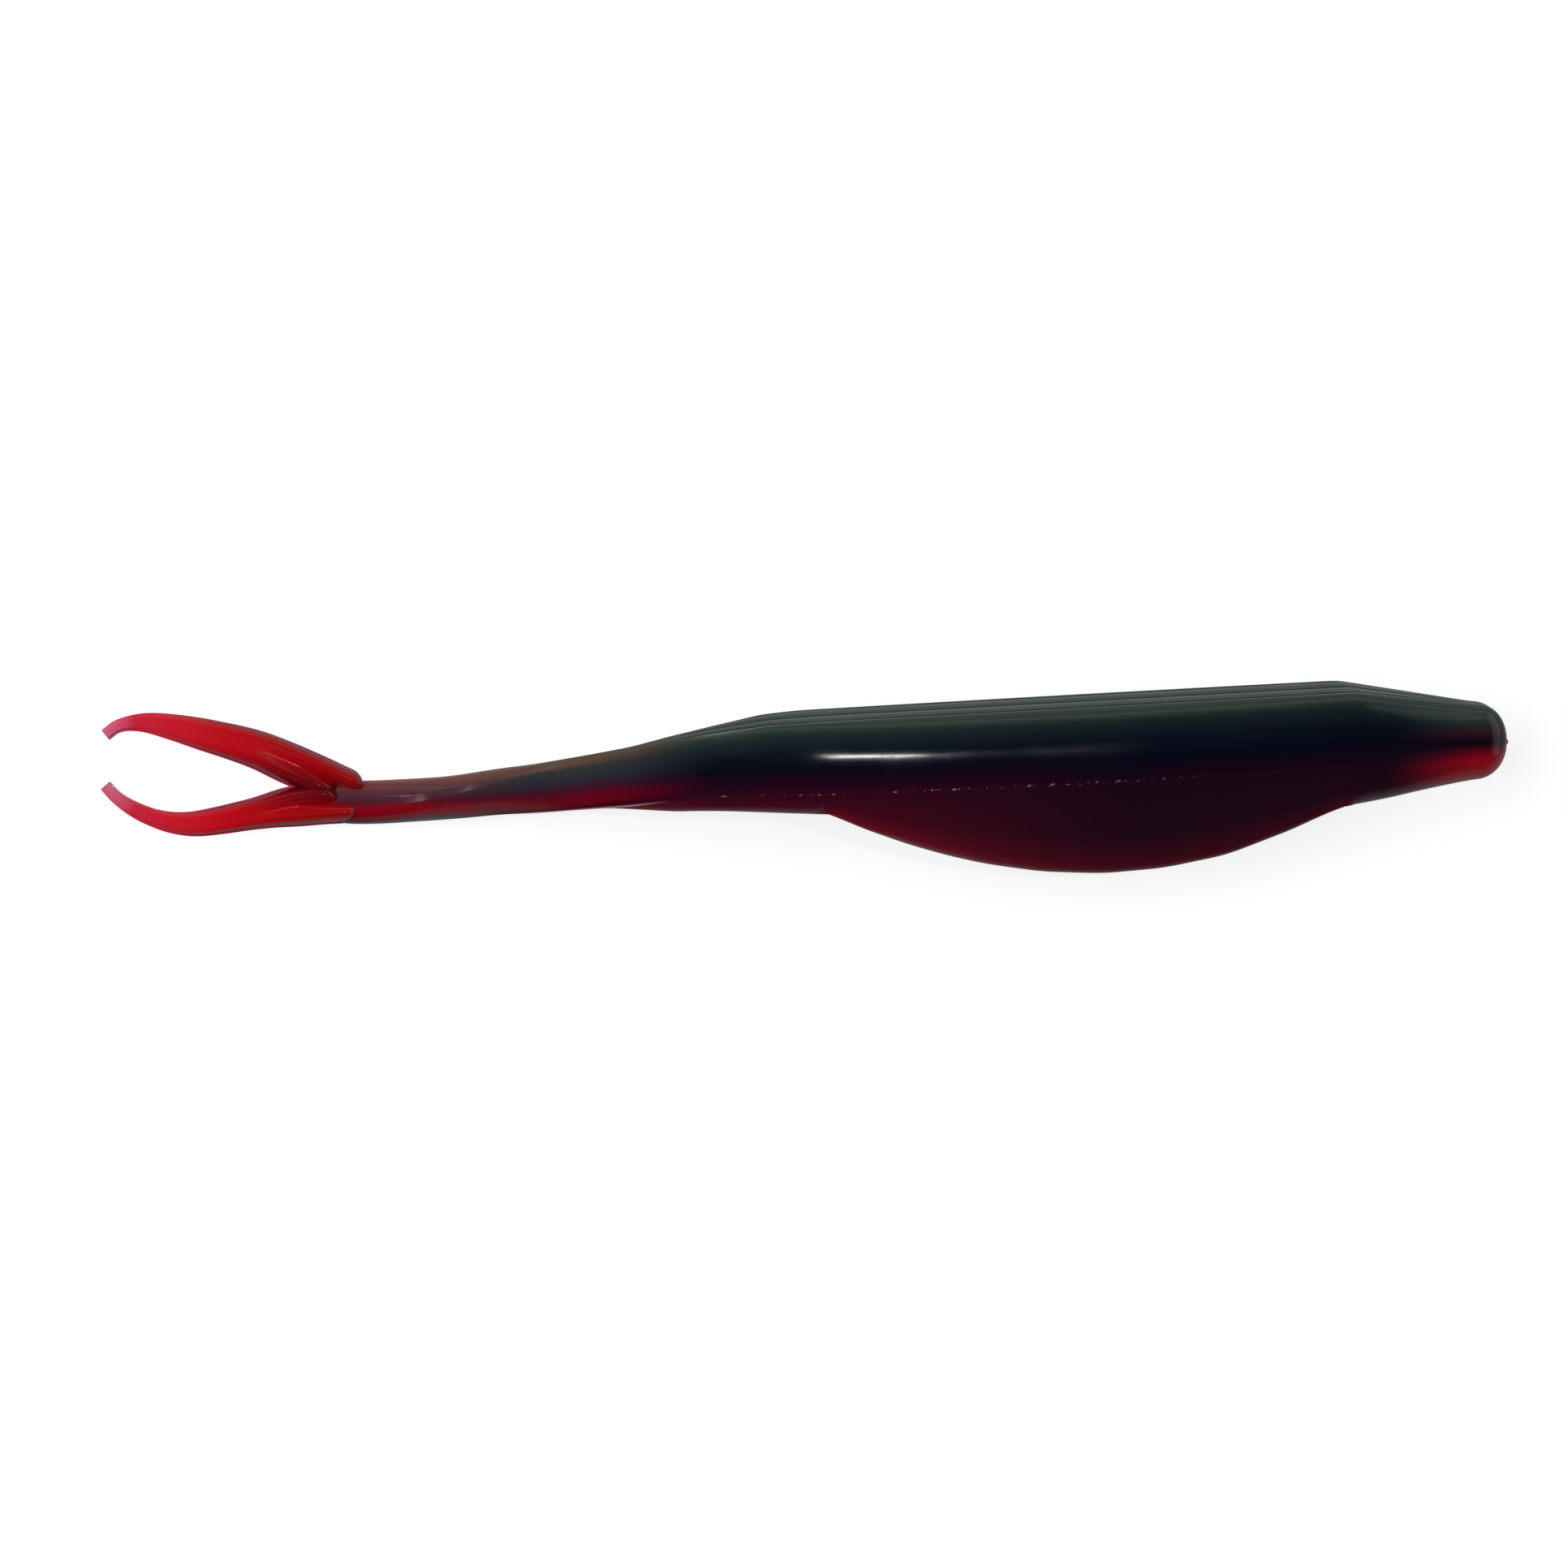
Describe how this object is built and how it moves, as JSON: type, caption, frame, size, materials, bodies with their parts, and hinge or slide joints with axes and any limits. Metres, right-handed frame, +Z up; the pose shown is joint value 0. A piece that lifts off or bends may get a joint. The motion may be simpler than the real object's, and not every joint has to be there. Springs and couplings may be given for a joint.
{
  "type": "soft plastic jerkbait",
  "caption": "Forked-tail soft plastic minnow bait of bonded back and belly pours, with a ribbed back, a slotted keel, a slender stem and flexing tines; it lies on its side.",
  "frame": {"origin": "on the table under the middle of the bait as it lies on its left side", "axes": "+X from the fork to the nose, +Y from the belly to the back, +Z up out of the right flank"},
  "size_m": [0.1334, 0.0178, 0.0119],
  "materials": {
    "back_pour": "gloss",
    "belly_pour": "gloss",
    "fork_pour": "gloss"
  },
  "bodies": {
    "trunk": {"trunk_back": "back_pour", "trunk_belly": "belly_pour"},
    "head": {"head_back": "back_pour", "head_belly": "belly_pour", "gate_nub": "belly_pour"},
    "keel_flap_left": {"keel_flap_left": "belly_pour"},
    "keel_flap_right": {"keel_flap_right": "belly_pour"},
    "waist": {"waist_back": "back_pour", "waist_belly": "belly_pour"},
    "stem_front": {"stem_front_back": "back_pour", "stem_front_belly": "belly_pour"},
    "stem_middle": {"stem_middle_back": "back_pour", "stem_middle_belly": "belly_pour"},
    "stem_rear": {"stem_rear_back": "back_pour", "stem_rear_belly": "belly_pour"},
    "fork_root": {"fork_root": "fork_pour"},
    "tine_left_base": {"tine_left_base": "fork_pour"},
    "tine_left_tip": {"tine_left_tip": "fork_pour"},
    "tine_right_base": {"tine_right_base": "fork_pour"},
    "tine_right_tip": {"tine_right_tip": "fork_pour"}
  },
  "joints": [
    {"name": "neck_side_bend", "type": "hinge", "parent": "trunk", "child": "head", "pos_m": [0.05275, 0.00281, 0.00585], "axis": [-0.0522, 0.9634, 0.2631], "range_deg": [-12, 12], "stiffness_Nm_per_rad": 0.006},
    {"name": "keel_flap_left_spread", "type": "hinge", "parent": "trunk", "child": "keel_flap_left", "pos_m": [0.02542, -0.00173, 0.00025], "axis": [0.9997, 0.0252, -0.0079], "range_deg": [0, 22], "stiffness_Nm_per_rad": 0.004},
    {"name": "keel_flap_right_spread", "type": "hinge", "parent": "trunk", "child": "keel_flap_right", "pos_m": [0.02555, -0.00415, 0.00912], "axis": [-0.9997, -0.0252, 0.0079], "range_deg": [0, 22], "stiffness_Nm_per_rad": 0.004},
    {"name": "waist_side_bend", "type": "hinge", "parent": "trunk", "child": "waist", "pos_m": [-0.00325, -0.00022, 0.00585], "axis": [-0.0522, 0.9634, 0.2631], "range_deg": [-15, 15], "stiffness_Nm_per_rad": 0.004},
    {"name": "stem_side_bend", "type": "hinge", "parent": "waist", "child": "stem_front", "pos_m": [-0.01525, -0.00101, 0.00544], "axis": [-0.133, 0.9461, 0.2953], "range_deg": [-20, 20], "stiffness_Nm_per_rad": 0.0012},
    {"name": "stem_nod", "type": "hinge", "parent": "stem_front", "child": "stem_middle", "pos_m": [-0.02313, -0.00022, 0.00501], "axis": [-0.145, -0.6055, 0.7825], "range_deg": [-20, 20], "stiffness_Nm_per_rad": 0.0005},
    {"name": "stem_twist", "type": "hinge", "parent": "stem_middle", "child": "stem_rear", "pos_m": [-0.02963, -0.00127, 0.00364], "axis": [0.9689, 0.0326, 0.2453], "range_deg": [-30, 30], "stiffness_Nm_per_rad": 0.0003},
    {"name": "fork_side_bend", "type": "hinge", "parent": "stem_rear", "child": "fork_root", "pos_m": [-0.03725, -0.00218, 0.00055], "axis": [-0.1508, 0.0965, 0.9838], "range_deg": [-25, 25], "stiffness_Nm_per_rad": 0.0003},
    {"name": "tine_left_spread", "type": "hinge", "parent": "fork_root", "child": "tine_left_base", "pos_m": [-0.05025, 0.00174, 0.00006], "axis": [0, 0, -1], "range_deg": [-5, 14], "stiffness_Nm_per_rad": 0.00008},
    {"name": "tine_left_curl", "type": "hinge", "parent": "tine_left_base", "child": "tine_left_tip", "pos_m": [-0.05825, 0.00419, 0.00059], "axis": [0.1122, 0.9937, 0], "range_deg": [-20, 30], "stiffness_Nm_per_rad": 0.000012},
    {"name": "tine_right_spread", "type": "hinge", "parent": "fork_root", "child": "tine_right_base", "pos_m": [-0.05025, -0.00346, 0.00006], "axis": [0, 0, 1], "range_deg": [-5, 14], "stiffness_Nm_per_rad": 0.00008},
    {"name": "tine_right_curl", "type": "hinge", "parent": "tine_right_base", "child": "tine_right_tip", "pos_m": [-0.05825, -0.00443, 0.00065], "axis": [-0.093, 0.9957, 0], "range_deg": [-20, 30], "stiffness_Nm_per_rad": 0.000012}
  ]
}
